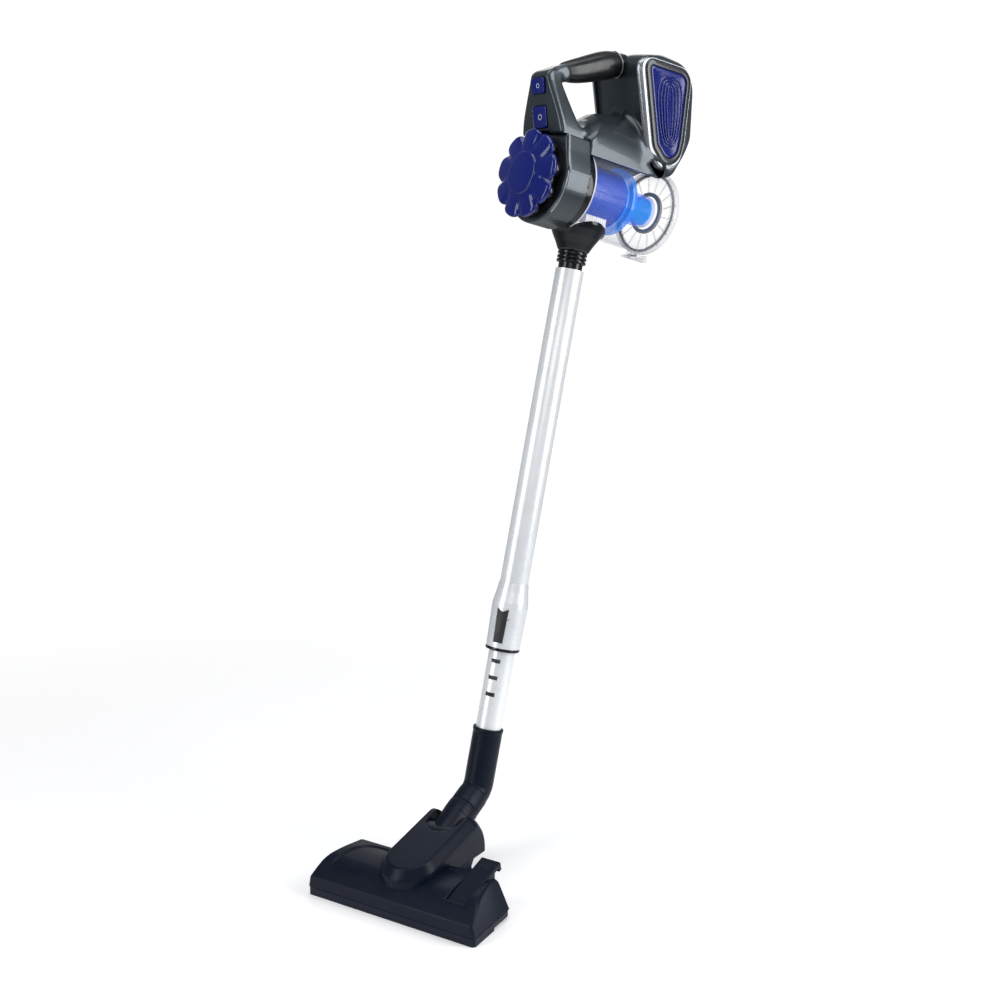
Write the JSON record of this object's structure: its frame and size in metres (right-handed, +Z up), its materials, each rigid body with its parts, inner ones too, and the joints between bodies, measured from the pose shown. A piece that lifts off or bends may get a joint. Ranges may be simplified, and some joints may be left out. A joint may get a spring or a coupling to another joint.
{
  "type": "upright vacuum cleaner",
  "caption": "Corded stick vacuum: wide floor head on a tilting swivel neck, telescopic tube, and a hand unit with clear cyclone cup, petal knob, loop grip and vented motor pod.",
  "frame": {"origin": "on the flat land of the sole behind the suction mouth, midway across the floor head", "axes": "+X to the cleaner's right, +Y to the back, +Z up from the floor"},
  "size_m": [0.2657, 0.5029, 0.987],
  "materials": {
    "black_shell": "satin moulded black plastic with a blue cast",
    "black_trim": "matte black moulded plastic",
    "rubber": "soft black rubber",
    "grip_soft": "soft-touch black grip",
    "graphite_paint": "metallic graphite paint on plastic",
    "blue_gloss": "deep blue gloss plastic",
    "blue_clear": "transparent blue plastic",
    "cyan_disc": "pale cyan plastic",
    "mesh": "fine blue filter mesh",
    "clear_cup": "clear plastic",
    "grey_plastic": "grey moulded plastic",
    "aluminium_tube": "bright anodised aluminium",
    "silver_sleeve": "silver painted plastic",
    "steel": "turned steel",
    "bristle": "nylon bristle tufts",
    "lint_fabric": "red thread-lifter pile",
    "filter_foam": "pale filter medium",
    "board": "green circuit board"
  },
  "bodies": {
    "head": {"head_sole": "black_shell", "head_shell": "black_shell", "neck_cowl": "black_shell", "lint_strips": "lint_fabric", "pedal_pin": "steel", "roller_axles": "steel", "head_screws": "steel"},
    "bristles": {"bristle_carriage": "grey_plastic", "bristle_rows": "bristle"},
    "pedal": {"pedal": "black_shell"},
    "roller_left": {"roller_left": "grey_plastic"},
    "roller_right": {"roller_right": "grey_plastic"},
    "neck": {"neck_drum": "black_shell", "neck_pins": "steel"},
    "elbow": {"elbow": "black_shell", "swivel_ring": "black_shell", "swivel_seal": "rubber"},
    "inner_wand": {"inner_tube": "aluminium_tube", "slide_bush": "grey_plastic"},
    "outer_wand": {"outer_tube": "aluminium_tube", "tube_sleeve": "silver_sleeve", "sleeve_end_ring": "black_trim", "release_pin": "steel"},
    "release_button": {"release_button": "black_trim"},
    "cup_unit": {"inlet_neck": "black_shell", "front_mask": "graphite_paint", "mask_recess": "black_trim", "front_filter": "filter_foam", "cup_collar": "black_trim", "dust_cup": "clear_cup", "cyclone_body": "blue_clear", "mesh_screen": "mesh", "outlet_tube": "blue_clear", "outlet_disc": "cyan_disc", "cap_hinge_pin": "steel", "latch_pin": "steel"},
    "knob": {"knob_skirt": "black_trim", "filter_knob": "blue_gloss"},
    "cap": {"cup_cap": "clear_cup", "cap_boss": "grey_plastic", "cap_seal": "rubber"},
    "latch": {"cap_latch": "clear_cup"},
    "power_unit": {"housing_left": "graphite_paint", "housing_right": "graphite_paint", "grip": "grip_soft", "vent_frame_left": "graphite_paint", "vent_frame_right": "graphite_paint", "vent_cover_left": "blue_gloss", "vent_cover_right": "blue_gloss", "switch_board": "board", "motor_case": "steel", "motor_mounts": "rubber", "exhaust_filters": "filter_foam", "cord_gland": "rubber", "housing_screws": "steel"},
    "power_button": {"power_button": "blue_gloss"},
    "speed_button": {"speed_button": "blue_gloss"},
    "rotor": {"rotor_shaft": "steel", "fan_wheel": "grey_plastic"}
  },
  "joints": [
    {"name": "neck_tilt", "type": "hinge", "parent": "head", "child": "neck", "pos_m": [0, 0.053, 0.042], "axis": [-1, 0, 0], "range_deg": [-4, 30]},
    {"name": "elbow_swivel", "type": "hinge", "parent": "neck", "child": "elbow", "pos_m": [0, 0.1326, 0.0923], "axis": [0, 0.9107, 0.4131], "range_deg": [-60, 60]},
    {"name": "wand_pull", "type": "slide", "parent": "elbow", "child": "inner_wand", "axis": [0.0754, 0.2162, 0.9734], "range_m": [0, 0.035]},
    {"name": "wand_length", "type": "slide", "parent": "inner_wand", "child": "outer_wand", "axis": [0.0754, 0.2162, 0.9734], "range_m": [-0.084, 0.168]},
    {"name": "release_press", "type": "hinge", "parent": "outer_wand", "child": "release_button", "pos_m": [0.01997, 0.16046, 0.30851], "axis": [-0.9813, -0.1575, 0.1109], "range_deg": [0, 4], "stiffness_Nm_per_rad": 0.3},
    {"name": "hand_unit_pull", "type": "slide", "parent": "outer_wand", "child": "cup_unit", "axis": [0.0754, 0.2162, 0.9734], "range_m": [0, 0.03]},
    {"name": "knob_turn", "type": "hinge", "parent": "cup_unit", "child": "knob", "pos_m": [0.02956, 0.22089, 0.83748], "axis": [0.3338, 0.9144, -0.2289], "range_deg": [0, 40]},
    {"name": "cap_open", "type": "hinge", "parent": "cup_unit", "child": "cap", "pos_m": [0.0956, 0.40233, 0.85042], "axis": [0.9396, -0.3422, 0.0033], "range_deg": [0, 60]},
    {"name": "latch_lift", "type": "hinge", "parent": "cup_unit", "child": "latch", "pos_m": [0.08472, 0.37144, 0.74173], "axis": [-0.9396, 0.3422, -0.0033], "range_deg": [0, 10], "stiffness_Nm_per_rad": 0.15},
    {"name": "power_unit_lift", "type": "slide", "parent": "cup_unit", "child": "power_unit", "axis": [0.0754, 0.2162, 0.9734], "range_m": [0, 0.03]},
    {"name": "power_press", "type": "slide", "parent": "power_unit", "child": "power_button", "axis": [0.3419, 0.9384, -0.0495], "range_m": [0, 0.002], "stiffness_N_per_m": 600},
    {"name": "speed_press", "type": "slide", "parent": "power_unit", "child": "speed_button", "axis": [0.3419, 0.9384, -0.0495], "range_m": [0, 0.002], "stiffness_N_per_m": 600},
    {"name": "motor_spin", "type": "hinge", "parent": "power_unit", "child": "rotor", "pos_m": [0.08474, 0.37312, 0.91445], "axis": [0.3338, 0.9144, -0.2289], "continuous": true},
    {"name": "pedal_rock", "type": "hinge", "parent": "head", "child": "pedal", "pos_m": [0, 0.00477, 0.03974], "axis": [-1, 0, 0], "range_deg": [0, 9]},
    {"name": "bristle_lower", "type": "slide", "parent": "head", "child": "bristles", "axis": [0, 0, -1], "range_m": [0, 0.005]},
    {"name": "left_roller_spin", "type": "hinge", "parent": "head", "child": "roller_left", "pos_m": [-0.046, 0.081, 0.009], "axis": [1, 0, 0], "continuous": true},
    {"name": "right_roller_spin", "type": "hinge", "parent": "head", "child": "roller_right", "pos_m": [0.046, 0.081, 0.009], "axis": [1, 0, 0], "continuous": true}
  ],
  "couplings": [
    {"joint": "bristle_lower", "follows": "pedal_rock", "m_per_rad": 0.031831}
  ]
}
